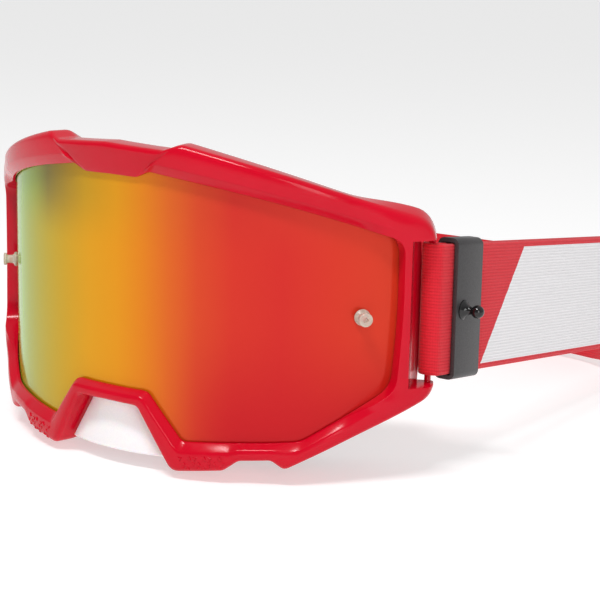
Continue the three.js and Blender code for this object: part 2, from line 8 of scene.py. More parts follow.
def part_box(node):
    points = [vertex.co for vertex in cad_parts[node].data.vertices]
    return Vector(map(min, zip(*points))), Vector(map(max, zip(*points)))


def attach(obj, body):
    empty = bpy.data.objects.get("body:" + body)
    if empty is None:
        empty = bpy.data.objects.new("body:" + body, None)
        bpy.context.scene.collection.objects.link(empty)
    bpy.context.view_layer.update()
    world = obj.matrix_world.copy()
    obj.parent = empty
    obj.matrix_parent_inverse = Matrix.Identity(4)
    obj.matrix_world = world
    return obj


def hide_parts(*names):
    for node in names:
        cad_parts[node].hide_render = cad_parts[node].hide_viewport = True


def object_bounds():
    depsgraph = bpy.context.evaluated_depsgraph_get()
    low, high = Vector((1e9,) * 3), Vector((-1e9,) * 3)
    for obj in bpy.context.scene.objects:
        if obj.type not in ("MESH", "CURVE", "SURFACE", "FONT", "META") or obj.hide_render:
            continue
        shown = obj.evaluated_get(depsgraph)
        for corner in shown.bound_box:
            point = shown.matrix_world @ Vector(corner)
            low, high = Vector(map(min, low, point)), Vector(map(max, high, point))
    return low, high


# Motorcycle goggles: gloss frame, mirrored lens, layered face foam, woven strap with keepers and sliders
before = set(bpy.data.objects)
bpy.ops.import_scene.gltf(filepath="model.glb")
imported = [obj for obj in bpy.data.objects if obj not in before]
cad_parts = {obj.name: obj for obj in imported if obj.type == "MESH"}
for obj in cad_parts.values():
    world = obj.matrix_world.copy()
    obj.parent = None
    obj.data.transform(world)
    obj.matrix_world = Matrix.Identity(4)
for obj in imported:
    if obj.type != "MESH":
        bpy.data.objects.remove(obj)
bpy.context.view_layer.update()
mm = 0.001
print("frame loaded:", len(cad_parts), "nodes")


# sRGB hex to the linear values that the shaders take
def linear(hexColour):
    values = []
    for i in (0, 2, 4):
        c = int(hexColour[i:i + 2], 16) / 255
        values.append(c / 12.92 if c <= 0.04045 else ((c + 0.055) / 1.055) ** 2.4)
    return (*values, 1)


def mix(a, b, t):
    return a + (b - a) * t


def smooth(value, low, high):
    t = min(max((value - low) / (high - low), 0), 1)
    return t * t * (3 - 2 * t)


def makeObject(name, verts, faces, material, body, slotName, uvs=None, sharp=40):
    mesh = bpy.data.meshes.new(name)
    mesh.from_pydata([tuple(v) for v in verts], [], faces)
    if uvs is not None:
        layer = mesh.uv_layers.new(name="surface")
        for loop in mesh.loops:
            layer.data[loop.index].uv = uvs[loop.vertex_index]
    obj = bpy.data.objects.new(name, mesh)
    bpy.context.scene.collection.objects.link(obj)
    bm = bmesh.new()
    bm.from_mesh(mesh)
    bmesh.ops.recalc_face_normals(bm, faces=bm.faces)
    bm.to_mesh(mesh)
    bm.free()
    finishMesh(obj, sharp)
    mesh.materials.append(material)
    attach(obj, body)
    return obj


# smooth faces, with sharp edges only where the angle is large
def finishMesh(obj, sharp):
    obj.data.shade_smooth()
    obj.data.set_sharp_from_angle(angle=math.radians(sharp))


def roundEdges(obj, width, angle):
    edges = obj.modifiers.new("edges", "BEVEL")
    edges.width = width * mm
    edges.segments = 3
    edges.limit_method = "ANGLE"
    edges.angle_limit = math.radians(angle)


# applies the modifiers of a piece
def bake(obj, sharp):
    graph = bpy.context.evaluated_depsgraph_get()
    graph.update()
    mesh = bpy.data.meshes.new_from_object(obj.evaluated_get(graph))
    obj.modifiers.clear()
    obj.data = mesh
    finishMesh(obj, sharp)
    return obj


# vertices and faces through equal sections, as a ring or capped at both ends
def sweep(sections, closed):
    count = len(sections[0])
    verts = [p for section in sections for p in section]
    faces = []
    spans = len(sections) if closed else len(sections) - 1
    for i in range(spans):
        here, there = i * count, ((i + 1) % len(sections)) * count
        for k in range(count):
            nxt = (k + 1) % count
            faces.append((here + k, there + k, there + nxt, here + nxt))
    if not closed:
        end = (len(sections) - 1) * count
        faces.append(tuple(range(count)))
        faces.append(tuple(end + k for k in reversed(range(count))))
    return verts, faces


# turned shape about a local Z axis; the profile starts and ends on the axis, or closes on itself
def lathe(profile, steps, place):
    rings = []
    for i in range(steps):
        a = 2 * math.pi * i / steps
        rings.append([Vector((r * math.cos(a), r * math.sin(a), z)) for r, z in profile])
    bm = bmesh.new()
    rows = [[bm.verts.new(place @ p) for p in ring] for ring in rings]
    for i in range(steps):
        a, b = rows[i], rows[(i + 1) % steps]
        for k in range(len(profile)):
            nxt = (k + 1) % len(profile)
            if profile[k][0] < 1e-9 and profile[nxt][0] < 1e-9:
                continue
            bm.faces.new((a[k], b[k], b[nxt], a[nxt]))
    bmesh.ops.remove_doubles(bm, verts=bm.verts, dist=1e-7)
    bmesh.ops.dissolve_degenerate(bm, edges=bm.edges, dist=1e-7)
    mesh = bpy.data.meshes.new("turned")
    bm.to_mesh(mesh)
    bm.free()
    verts = [v.co.copy() for v in mesh.vertices]
    faces = [tuple(p.vertices) for p in mesh.polygons]
    bpy.data.meshes.remove(mesh)
    return verts, faces


# rounds the corners of a closed loop of points
def roundLoop(points, radii, steps=4):
    loop = []
    count = len(points)
    for i, p in enumerate(points):
        before, after = points[i - 1], points[(i + 1) % count]
        reach = min(radii[i], (before - p).length * 0.45, (after - p).length * 0.45)
        if reach < 1e-6:
            loop.extend([p.copy() for _ in range(steps)])
            continue
        a = p + (before - p).normalized() * reach
        b = p + (after - p).normalized() * reach
        for k in range(steps):
            t = k / (steps - 1)
            loop.append(a * (1 - t) ** 2 + p * 2 * t * (1 - t) + b * t * t)
    return loop


# adds a node; links maps its inputs to sockets or values
def addNode(tree, kind, links=None, **settings):
    node = tree.nodes.new(kind)
    for key, value in settings.items():
        setattr(node, key, value)
    for key, value in (links or {}).items():
        if isinstance(value, bpy.types.NodeSocket):
            tree.links.new(value, node.inputs[key])
        else:
            node.inputs[key].default_value = value
    return node


def newMaterial(name, **values):
    material = bpy.data.materials.new(name)
    material.use_nodes = True
    tree = material.node_tree
    shader = tree.nodes["Principled BSDF"]
    for key, value in values.items():
        shader.inputs[key.replace("_", " ")].default_value = value
    return material, tree, shader


def ramp(tree, factor, stops):
    node = addNode(tree, "ShaderNodeValToRGB", {"Fac": factor})
    elements = node.color_ramp.elements
    while len(elements) < len(stops):
        elements.new(0.5)
    for element, (place, colour) in zip(elements, stops):
        element.position = place
        element.color = linear(colour) if isinstance(colour, str) else (colour,) * 3 + (1,)
    return node.outputs["Color"]


def addBump(tree, shader, height, strength, distance):
    bump = addNode(tree, "ShaderNodeBump", {"Height": height, "Strength": strength, "Distance": distance})
    tree.links.new(bump.outputs["Normal"], shader.inputs["Normal"])


# object position, which stays with the piece from every side
def objectPlace(tree):
    return addNode(tree, "ShaderNodeTexCoord").outputs["Object"]


def glossTpu():
    # moulded thermoplastic polyurethane: deep colour, wet gloss, faint flow ripple from the mould
    material, tree, shader = newMaterial("gloss TPU", Roughness=0.16, IOR=1.5, Specular_IOR_Level=0.22)
    place = objectPlace(tree)
    cloud = addNode(tree, "ShaderNodeTexNoise", {"Vector": place, "Scale": 40.0, "Detail": 3.0})
    colour = ramp(tree, cloud.outputs["Fac"], [(0.3, "C4011F"), (0.7, "CE0425")])
    tree.links.new(colour, shader.inputs["Base Color"])
    ripple = addNode(tree, "ShaderNodeTexNoise", {"Vector": place, "Scale": 260.0, "Detail": 2.0})
    rough = ramp(tree, ripple.outputs["Fac"], [(0.3, 0.13), (0.7, 0.2)])
    tree.links.new(rough, shader.inputs["Roughness"])
    addBump(tree, shader, ripple.outputs["Fac"], 0.05, 0.0002)
    return material


def mirrorPolycarbonate():
    # mirror-coated polycarbonate: thin-film colour that drifts across the sheet, seen as a metal-like gloss
    material, tree, shader = newMaterial("polycarbonate mirror", Metallic=0.25, Roughness=0.2,
                                         Specular_IOR_Level=0.2)
    uv = addNode(tree, "ShaderNodeUVMap", uv_map="surface")
    parts = addNode(tree, "ShaderNodeSeparateXYZ", {"Vector": uv.outputs["UV"]})
    across, up = parts.outputs["X"], parts.outputs["Y"]
    film = ramp(tree, across, lensSet["film"])
    dusk = ramp(tree, across, lensSet["topFilm"])
    high = addNode(tree, "ShaderNodeMapRange", {"Value": up, "From Min": 0.70, "From Max": 0.92},
                   interpolation_type="SMOOTHSTEP")
    topped = addNode(tree, "ShaderNodeMix", {0: high.outputs["Result"], 6: film, 7: dusk}, data_type="RGBA")
    low = addNode(tree, "ShaderNodeMapRange", {"Value": up, "From Min": 0.55, "From Max": 0.12},
                  interpolation_type="SMOOTHSTEP")
    right = addNode(tree, "ShaderNodeMapRange", {"Value": across, "From Min": 0.58, "From Max": 0.74},
                    interpolation_type="SMOOTHSTEP")
    share = addNode(tree, "ShaderNodeMath", {0: low.outputs["Result"], 1: right.outputs["Result"]},
                    operation="MULTIPLY")
    corner = {0: share.outputs["Value"], 6: topped.outputs[2], 7: linear(lensSet["corner"])}
    final = addNode(tree, "ShaderNodeMix", corner, data_type="RGBA")
    tree.links.new(final.outputs[2], shader.inputs["Base Color"])
    dust = addNode(tree, "ShaderNodeTexNoise", {"Vector": objectPlace(tree), "Scale": 900.0, "Detail": 2.0})
    rough = ramp(tree, dust.outputs["Fac"], [(0.35, 0.12), (0.75, 0.17)])
    tree.links.new(rough, shader.inputs["Roughness"])
    return material


def clearPolycarbonate():
    # clear moulded pin: sharp gloss, slight warm tint
    material, tree, shader = newMaterial("clear polycarbonate", Roughness=0.06, IOR=1.58,
                                         Transmission_Weight=0.55)
    cloud = addNode(tree, "ShaderNodeTexNoise", {"Vector": objectPlace(tree), "Scale": 600.0})
    colour = ramp(tree, cloud.outputs["Fac"], [(0.3, "E6D8C4"), (0.7, "F4EBDD")])
    tree.links.new(colour, shader.inputs["Base Color"])
    return material


def softElastomer():
    # soft white elastomer: even satin with a very fine moulded grain
    material, tree, shader = newMaterial("white elastomer", Roughness=0.42, IOR=1.43, Subsurface_Weight=0.25,
                                         Subsurface_Scale=0.002)
    grain = addNode(tree, "ShaderNodeTexNoise", {"Vector": objectPlace(tree), "Scale": 2500.0, "Detail": 2.0})
    colour = ramp(tree, grain.outputs["Fac"], [(0.3, "F1F1F3"), (0.7, "F9F8F8")])
    tree.links.new(colour, shader.inputs["Base Color"])
    addBump(tree, shader, grain.outputs["Fac"], 0.12, 0.00005)
    return material


def openCellFoam(name, dark, light, poreSize):
    # open-cell polyurethane foam: matt, full of pores about poreSize across
    material, tree, shader = newMaterial(name, Roughness=0.95, IOR=1.4, Sheen_Weight=0.2)
    place = objectPlace(tree)
    pores = addNode(tree, "ShaderNodeTexVoronoi", {"Vector": place, "Scale": 1 / poreSize})
    cloud = addNode(tree, "ShaderNodeTexNoise", {"Vector": place, "Scale": 90.0, "Detail": 4.0})
    speckle = addNode(tree, "ShaderNodeMath", {0: pores.outputs["Distance"], 1: cloud.outputs["Fac"]},
                      operation="MULTIPLY")
    colour = ramp(tree, speckle.outputs["Value"], [(0.05, dark), (0.5, light)])
    tree.links.new(colour, shader.inputs["Base Color"])
    addBump(tree, shader, pores.outputs["Distance"], 0.6, poreSize * 0.4)
    return material


def brushedFleece():
    # brushed fleece on the face side: short pile with a soft sheen
    material, tree, shader = newMaterial("brushed fleece", Roughness=1.0, IOR=1.4, Sheen_Weight=0.6,
                                         Sheen_Roughness=0.5)
    place = objectPlace(tree)
    pile = addNode(tree, "ShaderNodeTexNoise",
                   {"Vector": place, "Scale": 1800.0, "Detail": 5.0, "Roughness": 0.8})
    tuft = addNode(tree, "ShaderNodeTexNoise", {"Vector": place, "Scale": 160.0, "Detail": 3.0})
    both = addNode(tree, "ShaderNodeMath", {0: pile.outputs["Fac"], 1: tuft.outputs["Fac"]},
                   operation="MULTIPLY")
    colour = ramp(tree, both.outputs["Value"], [(0.12, "141416"), (0.42, "38383B")])
    tree.links.new(colour, shader.inputs["Base Color"])
    addBump(tree, shader, both.outputs["Value"], 0.8, 0.0004)
    return material


def wovenElastic():
    # woven elastic webbing: ribs along its length, fine picks across, ink printed over the ribs
    material, tree, shader = newMaterial("woven elastic", Roughness=0.8, IOR=1.46, Sheen_Weight=0.25,
                                         Sheen_Roughness=0.4)
    uv = addNode(tree, "ShaderNodeUVMap", uv_map="surface")
    parts = addNode(tree, "ShaderNodeSeparateXYZ", {"Vector": uv.outputs["UV"]})
    along, across = parts.outputs["X"], parts.outputs["Y"]

    def wave(value, pitch):
        turned = addNode(tree, "ShaderNodeMath", {0: value, 1: 2 * math.pi / pitch}, operation="MULTIPLY")
        sine = addNode(tree, "ShaderNodeMath", {0: turned.outputs["Value"]}, operation="SINE")
        return sine.outputs["Value"]

    def compute(operation, a, b=0.0, c=0.0):
        links = {0: a, 1: b} if operation != "MULTIPLY_ADD" else {0: a, 1: b, 2: c}
        return addNode(tree, "ShaderNodeMath", links, operation=operation).outputs["Value"]

    ribs = wave(across, strapSet["ribPitch"] * mm)
    picks = wave(along, strapSet["pickPitch"] * mm)
    fuzz = addNode(tree, "ShaderNodeTexNoise", {"Vector": objectPlace(tree), "Scale": 1400.0, "Detail": 3.0})
    weave = compute("MULTIPLY_ADD", picks, 0.35, ribs)
    height = compute("MULTIPLY_ADD", fuzz.outputs["Fac"], 1.2, weave)
    red = ramp(tree, compute("MULTIPLY_ADD", height, 0.2, 0.4), [(0.1, "C4081F"), (0.7, "DE1228")])
    white = ramp(tree, compute("MULTIPLY_ADD", height, 0.2, 0.4), [(0.1, "DAD8DA"), (0.7, "F2F0F2")])
    # print: a plain white panel with slanted ends, inside red selvedges
    wobble = addNode(tree, "ShaderNodeTexNoise", {"Vector": objectPlace(tree), "Scale": 500.0, "Detail": 2.0})
    ragged = compute("MULTIPLY_ADD", wobble.outputs["Fac"], 0.0008, along)

    def between(value, low, high):
        over = compute("GREATER_THAN", value, low * mm)
        return compute("MULTIPLY", over, compute("LESS_THAN", value, high * mm))

    st = strapSet
    leaning = compute("MULTIPLY_ADD", across, -st["slant"], ragged)
    printed = compute("MULTIPLY", between(leaning, *st["panel"]),
                      between(across, -st["printHalf"], st["printHalf"]))
    colour = addNode(tree, "ShaderNodeMix", {0: printed, 6: red, 7: white}, data_type="RGBA")
    tree.links.new(colour.outputs[2], shader.inputs["Base Color"])
    addBump(tree, shader, height, 0.55, 0.00012)
    return material


def texturedNylon(name, base, light, roughness):
    # glass-filled nylon: near-black with a fine spark-eroded texture that greys where light rakes it
    material, tree, shader = newMaterial(name, Roughness=roughness, IOR=1.53)
    place = objectPlace(tree)
    grit = addNode(tree, "ShaderNodeTexNoise",
                   {"Vector": place, "Scale": 1600.0, "Detail": 4.0, "Roughness": 0.7})
    colour = ramp(tree, grit.outputs["Fac"], [(0.3, base), (0.7, light)])
    tree.links.new(colour, shader.inputs["Base Color"])
    addBump(tree, shader, grit.outputs["Fac"], 0.35, 0.0001)
    return material


def siliconeBead():
    # translucent silicone bead: soft satin with tiny ripples
    material, tree, shader = newMaterial("silicone", Roughness=0.3, IOR=1.41, Transmission_Weight=0.25)
    ripple = addNode(tree, "ShaderNodeTexNoise", {"Vector": objectPlace(tree), "Scale": 500.0})
    colour = ramp(tree, ripple.outputs["Fac"], [(0.3, "C9CACC"), (0.7, "E2E3E5")])
    tree.links.new(colour, shader.inputs["Base Color"])
    addBump(tree, shader, ripple.outputs["Fac"], 0.2, 0.0002)
    return material


# pairs give the front, then the sides by the strap
frameSet = {
    "radius": 100, "lip": (1.0, 5.2), "bevel": (3.1, 5.6), "bevelShare": 0.3, "crest": (3.8, 5.9),
    "brow": (0.8, 4.4), "edgeDrop": 1.4, "rearDrop": (5.0, 1.4), "rearReach": 3.7, "ledge": 1.6, "wall": 2.2,
    "flange": 2.0, "flangeWidth": 9, "flangeNose": 5, "hollowX": 80.6, "groove": 3.5, "grooveSide": 2.5,
    "seatBack": 2.1, "faceRadius": 92, "foamStack": 18, "flangeX": 0.845, "flangeTop": 0.84,
    "flangeLow": 0.93, "faceX": 0.8, "faceTop": 0.77, "station": 1.9,
}
lensSet = {
    "gap": 0.35, "thickness": 1.4, "rebate": 3.0, "rebateSide": 2.0,
    "film": [(0.0, "7FA05A"), (0.04, "A9C27A"), (0.10, "7FB022"), (0.18, "8DB91E"), (0.24, "A2A91A"),
             (0.30, "B5A413"), (0.38, "C89D06"), (0.45, "D99806"), (0.51, "DC900A"), (0.56, "DA7D10"),
             (0.61, "D4601A"), (0.66, "CE421E"), (0.72, "CB2E1F"), (0.80, "C8261F"), (0.88, "CC301E"),
             (1.0, "D23C22")],
    "topFilm": [(0.0, "7FA05A"), (0.05, "6FA42A"), (0.20, "7FB01E"), (0.28, "86971C"), (0.33, "7D7022"),
                (0.38, "9C7F1C"), (0.44, "BE9010"), (0.51, "D3900C"), (0.56, "D57C12"), (0.61, "CF5F1C"),
                (0.66, "C9421F"), (0.72, "C42A20"), (0.88, "C93220"), (1.0, "D23C22")],
    "corner": "BE141C",                               # low on the near side
}
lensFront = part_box("lens")[0].y                       # front of the lens on the plane of symmetry
axisY = lensFront / mm + frameSet["radius"] - lensSet["gap"]

# corners of the right half on the unrolled lens cylinder: opening s, z, trim, then outer edge s, z, trim
rimCorners = [
    ((0, 46.8, 0), (0, 57.5, 0)),
    ((10.8, 46.6, 1.2), (21.8, 56.3, 1.2)),           # end of the brow plate
    ((15.6, 48.8, 1.5), (27.2, 58.4, 1.5)),           # wing begins
    ((52, 43.4, 26), (50, 53.4, 20)),
    ((97.6, 29.3, 5), (107.6, 35.3, 7)),              # temple
    ((97.8, 5, 12), (112, 5, 12)),
    ((96, -19.5, 5), (108.8, -22.1, 4)),
    ((66.5, -36.6, 2.5), (61.4, -45.6, 1.5)),         # cheek
    ((58, -37.1, 1.5), (57.2, -42.5, 1)),
    ((48, -37.6, 1.5), (47, -43.1, 1)),
    ((43, -37.9, 1.5), (42, -46.8, 1)),               # lobe beside the nose
    ((27.6, -38.8, 1.6), (24.6, -48.8, 2.6)),
    ((15, -23.4, 2), (12.4, -28.4, 1.6)),
    ((0, -23.4, 0), (0, -28.1, 0)),
]


def onLens(s, z, rise):
    angle = s / frameSet["radius"]
    r = frameSet["radius"] + rise
    return Vector((r * math.sin(angle), axisY - r * math.cos(angle), z)) * mm


# pairs of opening and outer points down the right half; plate is 1 on the brow plate
def traceRails():
    last = len(rimCorners) - 1
    pairs = []

    def at(i, rail):
        return Vector(rimCorners[i][rail][:2])

    for i in range(last + 1):
        legs = []
        for rail in (0, 1):
            here, trim = at(i, rail), rimCorners[i][rail][2]
            if i in (0, last):
                legs.append((here, here, here))
            else:
                legs.append((here + (at(i - 1, rail) - here).normalized() * trim, here,
                             here + (at(i + 1, rail) - here).normalized() * trim))
        plate = 1.0 if i < 2 else 0.0
        if i in (0, last):
            pairs.append((legs[0][1], legs[1][1], plate))
        else:
            size = max((leg[0] - leg[1]).length + (leg[2] - leg[1]).length for leg in legs)
            steps = max(5, math.ceil(size / frameSet["station"]))
            for k in range(steps + 1):
                t = k / steps
                a, b = [p * (1 - t) ** 2 + q * 2 * t * (1 - t) + r * t * t for p, q, r in legs]
                pairs.append((a, b, plate))
        if i == last:
            break
        ends = []
        for rail in (0, 1):
            here, nxt = at(i, rail), at(i + 1, rail)
            ends.append(nxt + (here - nxt).normalized() * rimCorners[i + 1][rail][2])
        spans = [(legs[rail][2], ends[rail]) for rail in (0, 1)]
        steps = max(1, math.ceil(max((b - a).length for a, b in spans) / frameSet["station"]))
        for k in range(1, steps):
            t = k / steps
            level = 1 - t if i == 1 else plate        # the plate's chamfered end
            pairs.append((spans[0][0].lerp(spans[0][1], t), spans[1][0].lerp(spans[1][1], t), level))
    return pairs


def makeStations():
    half = traceRails()
    other = [(Vector((-a.x, a.y)), Vector((-b.x, b.y)), c) for a, b, c in reversed(half[1:-1])]
    ring = half + other
    count = len(ring)
    reach = 11                                        # stations each way that ease the face side
    stations = []
    for i, (inner, outer, plate) in enumerate(ring):
        soft = []
        for rail in (0, 1):
            total, weights = Vector((0, 0)), 0
            for k in range(-reach, reach + 1):
                weight = reach + 1 - abs(k)
                total += ring[(i + k) % count][rail] * weight
                weights += weight
            soft.append(total / weights)
        stations.append({"inner": inner, "outer": outer, "plate": plate, "soft": soft})
    return stations


stations = makeStations()
print("rails traced:", len(stations), "stations")


# depth of a curve round the face at x, in mm
def faceY(x, radius):
    return frameSet["faceRadius"] - math.sqrt(radius * radius - x * x)


def faceRails(station):
    rim = onLens(station["soft"][1].x, station["soft"][1].y, 0) / mm
    opening = onLens(station["soft"][0].x, station["soft"][0].y, 0) / mm
    inwards = Vector((opening.x - rim.x, 0, opening.z - rim.z)).normalized()
    noseShare = smooth(math.hypot(rim.x, rim.z + 28), 14, 34)
    flangeX = rim.x * frameSet["flangeX"]
    back = frameSet["faceRadius"] + frameSet["foamStack"]
    flangeZ = rim.z * frameSet["flangeTop" if rim.z > 0 else "flangeLow"]
    flange = Vector((flangeX, faceY(flangeX, back), flangeZ))
    faceX = rim.x * frameSet["faceX"]
    faceZ = rim.z * frameSet["faceTop" if rim.z > 0 else "flangeLow"]
    face = Vector((faceX, faceY(faceX, frameSet["faceRadius"]), faceZ))
    return flange, face, inwards, noseShare


def outward(station, distance):
    way = station["outer"] - station["inner"]
    return station["inner"] + way.normalized() * distance


def rimPoint(station, share, rise):
    p = outward(station, (station["outer"] - station["inner"]).length * share)
    return onLens(p.x, p.y, rise)


def rimLevels(station):
    side = smooth(abs(station["outer"].x), 80, 106)
    lip, bevel, crest = [mix(*frameSet[key], side) for key in ("lip", "bevel", "crest")]
    return side, lip, bevel, crest


# loop round the moulded rim, in metres, with its corners rounded
def frameSection(station):
    width = (station["outer"] - station["inner"]).length
    side, lip, bevel, crest = rimLevels(station)
    near = smooth(abs(station["inner"].x), 88, 98)
    groove = mix(frameSet["groove"], frameSet["grooveSide"], near)
    flange, _, inwards, noseShare = faceRails(station)
    back = frameSet["faceRadius"] + frameSet["foamStack"]
    inner = flange + inwards * mix(frameSet["flangeNose"], frameSet["flangeWidth"], noseShare)
    inner.y = faceY(inner.x, back)
    forward = Vector((0, -frameSet["flange"], 0))
    hollowRear = flange + inwards * frameSet["wall"] + forward
    wallEnd = rimPoint(station, 1 + frameSet["rearReach"] * side / width, -mix(*frameSet["rearDrop"], side))
    hollowFront = wallEnd / mm + inwards * frameSet["wall"]
    for corner in (hollowRear, hollowFront):
        corner.x = min(max(corner.x, -frameSet["hollowX"]), frameSet["hollowX"])
    seat = frameSet["seatBack"]

    # point on the front face; the brow plate is one slope from the lens to its top
    def front(share, rise, browShare):
        browRise = mix(*frameSet["brow"], browShare / 0.88)
        return rimPoint(station, share, mix(rise, browRise, station["plate"]))

    points = [
        (rimPoint(station, 0, 0), 0.15), (front(0, lip, 0), 0.3),
        (front(frameSet["bevelShare"], bevel + 0.35 * (1 - side), frameSet["bevelShare"]), 0.45),
        (front(0.6, crest, 0.6), 1.5), (front(0.88, crest - 0.2, 0.88), 0.9),
        (front(1, crest - frameSet["edgeDrop"], 0.62), 0.9),
        (wallEnd, 1.5),
        (flange * mm, 0.5), (inner * mm, 0.4), ((inner + forward) * mm, 0.4),
        (hollowRear * mm, 0.8), (hollowFront * mm, 1.0),
        (rimPoint(station, (groove + 1) / width, -seat - frameSet["ledge"]), 0.4),
        (rimPoint(station, 0, -seat - frameSet["ledge"]), 0.3), (rimPoint(station, 0, -seat), 0.2),
        (rimPoint(station, groove / width, -seat), 0.1), (rimPoint(station, groove / width, 0), 0.1),
    ]
    return roundLoop([p for p, _ in points], [r * mm for _, r in points])


pocketSet = {"edgeS": 99.8, "wallX": 84.3, "wallY": 13.5, "barX": (87.2, 89.1), "barY": (14.6, 16.8),
             "z": (-19, 29.2)}
ventSet = {"upper": (14, 36, 56, 76), "lower": (33, 80), "length": 9.5, "width": 5.6}
gripSet = {"size": 1.15, "height": 0.4, "pitch": 2.5}


# closed prism over plan outlines: the first is the outside, any others are holes
def outlinePrism(name, outlines, low, high):
    curve = bpy.data.curves.new(name, "CURVE")
    curve.dimensions = "2D"
    curve.fill_mode = "BOTH"
    curve.extrude = (high - low) / 2
    for outline in outlines:
        spline = curve.splines.new("POLY")
        spline.points.add(len(outline) - 1)
        for point, (x, y) in zip(spline.points, outline):
            point.co = (x, y, 0, 1)
        spline.use_cyclic_u = True
    obj = bpy.data.objects.new(name, curve)
    bpy.context.scene.collection.objects.link(obj)
    graph = bpy.context.evaluated_depsgraph_get()
    mesh = bpy.data.meshes.new_from_object(obj.evaluated_get(graph))
    bpy.data.objects.remove(obj)
    mesh.transform(Matrix.Translation((0, 0, (low + high) / 2)))
    solid = bpy.data.objects.new(name, mesh)
    bpy.context.scene.collection.objects.link(solid)
    bm = bmesh.new()
    bm.from_mesh(mesh)
    bmesh.ops.remove_doubles(bm, verts=bm.verts, dist=1e-6)
    bmesh.ops.recalc_face_normals(bm, faces=bm.faces)
    bm.to_mesh(mesh)
    bm.free()
    return solid


def roundedBox(x, y, radius, steps=5):
    points = []
    for cx, cy, start in ((x[1], y[1], 0), (x[0], y[1], 90), (x[0], y[0], 180), (x[1], y[0], 270)):
        ox = cx - radius if cx == x[1] else cx + radius
        oy = cy - radius if cy == y[1] else cy + radius
        for k in range(steps + 1):
            a = math.radians(start + 90 * k / steps)
            points.append((ox + radius * math.cos(a), oy + radius * math.sin(a)))
    return points


def pocketCutter(side):
    front = onLens(pocketSet["edgeS"], 0, 8)
    back = onLens(pocketSet["edgeS"], 0, frameSet["lip"][1])
    wall, behind, outside = pocketSet["wallX"] * mm, 28.8 * mm, 99.9 * mm
    outline = [(front.x, front.y), (back.x, back.y), (wall, pocketSet["wallY"] * mm), (wall, behind),
               (outside, behind), (outside, front.y)]
    bar = roundedBox([v * mm for v in pocketSet["barX"]], [v * mm for v in pocketSet["barY"]], 0.8 * mm)
    outlines = [[(side * x, y) for x, y in line] for line in (outline, bar)]
    return outlinePrism("pocket cutter", outlines, pocketSet["z"][0] * mm, pocketSet["z"][1] * mm)


def ventCutter(s, upper):
    row = [st for st in stations if (st["outer"].y > 0) == upper]
    station = min(row, key=lambda st: abs(st["outer"].x - s))
    rear, _, _, _ = faceRails(station)
    front = rimPoint(station, 1, -frameSet["rearDrop"][0])
    middle = (front + rear * mm) / 2
    outline = roundedBox((-ventSet["length"] / 2 * mm, ventSet["length"] / 2 * mm),
                         (-ventSet["width"] / 2 * mm, ventSet["width"] / 2 * mm), 2.2 * mm)
    cutter = outlinePrism("vent cutter", [outline], -3.6 * mm, 3.6 * mm)
    turn = Matrix.Rotation(station["outer"].x / frameSet["radius"], 4, "Z")
    cutter.data.transform(Matrix.Translation(middle) @ turn)
    return cutter


# small raised triangles on the lobes beside the nose
def gripTriangles():
    verts, faces = [], []
    size, height, pitch = gripSet["size"] * mm, gripSet["height"] * mm, gripSet["pitch"]
    lower = [st for st in stations if st["outer"].y < -40]
    for side in (1, -1):
        for row, share in enumerate((0.5, 0.68, 0.84)):
            for i in range(6):
                s = side * (28.5 + i * pitch + (row % 2) * pitch / 2)
                station = min(lower, key=lambda st: abs(mix(st["inner"].x, st["outer"].x, share) - s))
                crest = rimLevels(station)[3]
                base = rimPoint(station, share, crest - 0.15 - 1.2 * max(share - 0.6, 0))
                out = (rimPoint(station, share, crest + 1) - base).normalized()
                along = Vector((0, 0, 1)).cross(out).normalized()
                up = out.cross(along)
                start = len(verts)
                flip = 1 if (i + row) % 2 else -1
                for k in range(3):
                    a = math.radians(90 + 120 * k)
                    ray = along * math.cos(a) + up * math.sin(a) * flip
                    verts.append(base + ray * size - out * height)
                for k in range(3):
                    a = math.radians(90 + 120 * k)
                    ray = along * math.cos(a) + up * math.sin(a) * flip
                    verts.append(base + ray * size * 0.55 + out * height)
                faces += [(start, start + 1, start + 2), (start + 5, start + 4, start + 3)]
                for k in range(3):
                    n = (k + 1) % 3
                    faces.append((start + k, start + 3 + k, start + 3 + n, start + n))
    return verts, faces


def makeFrame():
    verts, faces = sweep([frameSection(st) for st in stations], True)
    red = glossTpu()
    obj = makeObject("frame_shell", verts, faces, red, "frame_body", "frame")
    cutters = [pocketCutter(1), pocketCutter(-1)]
    for s in ventSet["upper"]:
        cutters += [ventCutter(s, True), ventCutter(-s, True)]
    for s in ventSet["lower"]:
        cutters += [ventCutter(s, False), ventCutter(-s, False)]
    for cutter in cutters:
        hole = obj.modifiers.new("hole", "BOOLEAN")
        hole.operation = "DIFFERENCE"
        hole.solver = "EXACT"
        hole.object = cutter
    roundEdges(obj, 0.35, 52)
    bake(obj, 50)
    for cutter in cutters:
        bpy.data.objects.remove(cutter)
    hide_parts("frame")
    makeObject("lobe_grips", *gripTriangles(), red, "frame_body", "frame", sharp=25)
    print("frame made:", len(obj.data.polygons), "faces")


makeFrame()


def rebate(s):
    return mix(lensSet["rebate"], lensSet["rebateSide"], smooth(abs(s), 88, 98))


